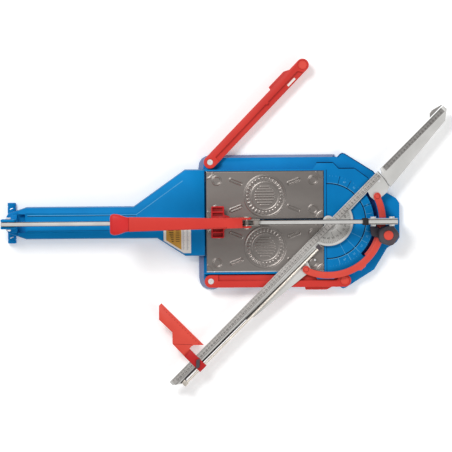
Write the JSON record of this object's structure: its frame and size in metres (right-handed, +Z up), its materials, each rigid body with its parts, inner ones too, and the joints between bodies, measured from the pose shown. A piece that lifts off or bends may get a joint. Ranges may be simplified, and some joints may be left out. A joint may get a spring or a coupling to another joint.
{
  "type": "manual tile cutter",
  "caption": "Push-type tile cutter: cast base with tail, monorail, carriage with breaking handle, sprung plates, folding side arms, goniometer ruler with square stop.",
  "frame": {"origin": "on the bench, under the goniometer's pivot, at the flat bottom of the centre foot", "axes": "+X along the rail towards the goniometer end, +Y towards the open side arm, +Z up"},
  "size_m": [1.1987, 0.8826, 0.209],
  "materials": {
    "blue_paint": "metallic blue enamel on cast aluminium",
    "red_paint": "satin red enamel on cast aluminium",
    "red_grip": "soft red plastic",
    "steel": "brushed",
    "plate_steel": "dark polished sheet",
    "aluminium": "satin anodised",
    "chrome": "polished",
    "black_plastic": "matt moulded",
    "red_plastic": "moulded",
    "rubber": "matt"
  },
  "bodies": {
    "base": {"base_casting": "blue_paint", "tail_casting": "blue_paint", "joint_plate": "steel", "foot_crossbar": "blue_paint", "rubber_foot_northwest": "rubber", "rubber_foot_southwest": "rubber", "rubber_foot_northeast": "rubber", "rubber_foot_southeast": "rubber", "centre_foot": "rubber", "rail": "steel", "rail_front_bracket": "blue_paint", "rail_front_bolt": "chrome", "rail_rear_bracket": "blue_paint", "rail_end_channel": "steel", "rail_rear_bolt_1": "chrome", "rail_rear_bolt_2": "chrome", "rail_bumper": "rubber", "breaking_bar": "steel", "plate_spring_north": "steel", "plate_spring_south": "steel", "pivot_pin": "chrome", "clamp_stud": "steel", "clamp_plate": "black_plastic", "arm_screw_north": "chrome", "arm_screw_south": "chrome"},
    "plate_north": {"plate_north": "plate_steel"},
    "plate_south": {"plate_south": "plate_steel"},
    "arm_north": {"side_arm_north": "red_paint", "arm_tip_pad_north": "red_plastic"},
    "arm_south": {"side_arm_south": "red_paint", "arm_tip_pad_south": "red_plastic"},
    "knob": {"clamp_knob": "black_plastic", "knob_cap": "red_plastic"},
    "goniometer": {"ruler_bar": "aluminium", "ruler_scale": "aluminium", "protractor": "aluminium", "guide_rod": "chrome", "rod_holder_front": "black_plastic", "rod_holder_rear": "chrome", "arc_handle": "red_plastic"},
    "extension": {"extension_ruler": "aluminium", "end_hook": "aluminium"},
    "square": {"square_stop": "red_plastic", "square_slider": "red_plastic"},
    "lever": {"square_lever": "black_plastic"},
    "carriage": {"carriage_body": "steel", "return_spring": "steel", "handle_bolt": "chrome", "axle_front": "steel", "axle_rear": "steel", "axle_lower": "steel"},
    "roller_front": {"roller_front": "steel"},
    "roller_rear": {"roller_rear": "steel"},
    "roller_lower": {"roller_lower": "steel"},
    "handle": {"handle_lever": "red_paint", "handle_grip": "red_grip", "breaker_foot": "red_plastic", "foot_pin": "steel", "wheel_holder": "steel"},
    "wheel": {"scoring_wheel": "chrome"}
  },
  "joints": [
    {"name": "plate_north_press", "type": "slide", "parent": "base", "child": "plate_north", "axis": [0, 0, -1], "range_m": [0, 0.004], "stiffness_N_per_m": 4000, "springref_m": -0.01, "deforming": ["plate_spring_north"]},
    {"name": "plate_south_press", "type": "slide", "parent": "base", "child": "plate_south", "axis": [0, 0, -1], "range_m": [0, 0.004], "stiffness_N_per_m": 4000, "springref_m": -0.01, "deforming": ["plate_spring_south"]},
    {"name": "arm_north_swing", "type": "hinge", "parent": "base", "child": "arm_north", "pos_m": [-0.318, 0.161, 0.037], "axis": [0, 0, 1], "range_deg": [-46, 44]},
    {"name": "arm_south_swing", "type": "hinge", "parent": "base", "child": "arm_south", "pos_m": [-0.318, -0.161, 0.037], "axis": [0, 0, 1], "range_deg": [-90, 0]},
    {"name": "clamp_turn", "type": "hinge", "parent": "base", "child": "knob", "pos_m": [0.16, -0.0385, 0.075], "axis": [0, 0, 1], "range_deg": [-120, 120]},
    {"name": "goniometer_swing", "type": "hinge", "parent": "base", "child": "goniometer", "pos_m": [0, 0, 0.053], "axis": [0, 0, 1], "range_deg": [0, 90]},
    {"name": "extension_pull", "type": "slide", "parent": "goniometer", "child": "extension", "axis": [0.7071, 0.7071, 0], "range_m": [0, 0.03]},
    {"name": "square_slide", "type": "slide", "parent": "goniometer", "child": "square", "axis": [0.7071, 0.7071, 0], "range_m": [-0.03, 0.25]},
    {"name": "lever_turn", "type": "hinge", "parent": "square", "child": "lever", "pos_m": [-0.35479, -0.38166, 0.064], "axis": [0, 0, 1], "range_deg": [-35, 35]},
    {"name": "carriage_slide", "type": "slide", "parent": "base", "child": "carriage", "axis": [1, 0, 0], "range_m": [-0.5, 0.25]},
    {"name": "roller_front_spin", "type": "hinge", "parent": "carriage", "child": "roller_front", "pos_m": [-0.198, 0, 0.1443], "axis": [0, 1, 0], "continuous": true},
    {"name": "roller_rear_spin", "type": "hinge", "parent": "carriage", "child": "roller_rear", "pos_m": [-0.266, 0, 0.1443], "axis": [0, 1, 0], "continuous": true},
    {"name": "roller_lower_spin", "type": "hinge", "parent": "carriage", "child": "roller_lower", "pos_m": [-0.246, 0, 0.0857], "axis": [0, 1, 0], "continuous": true},
    {"name": "handle_tilt", "type": "hinge", "parent": "carriage", "child": "handle", "pos_m": [-0.222, 0, 0.15], "axis": [0, -1, 0], "range_deg": [-7, 5]},
    {"name": "wheel_spin", "type": "hinge", "parent": "handle", "child": "wheel", "pos_m": [-0.176, 0, 0.077], "axis": [0, 1, 0], "continuous": true}
  ],
  "couplings": [
    {"joint": "roller_front_spin", "follows": "carriage_slide", "rad_per_m": 111.11},
    {"joint": "roller_rear_spin", "follows": "carriage_slide", "rad_per_m": 111.11},
    {"joint": "roller_lower_spin", "follows": "carriage_slide", "rad_per_m": -111.11}
  ]
}
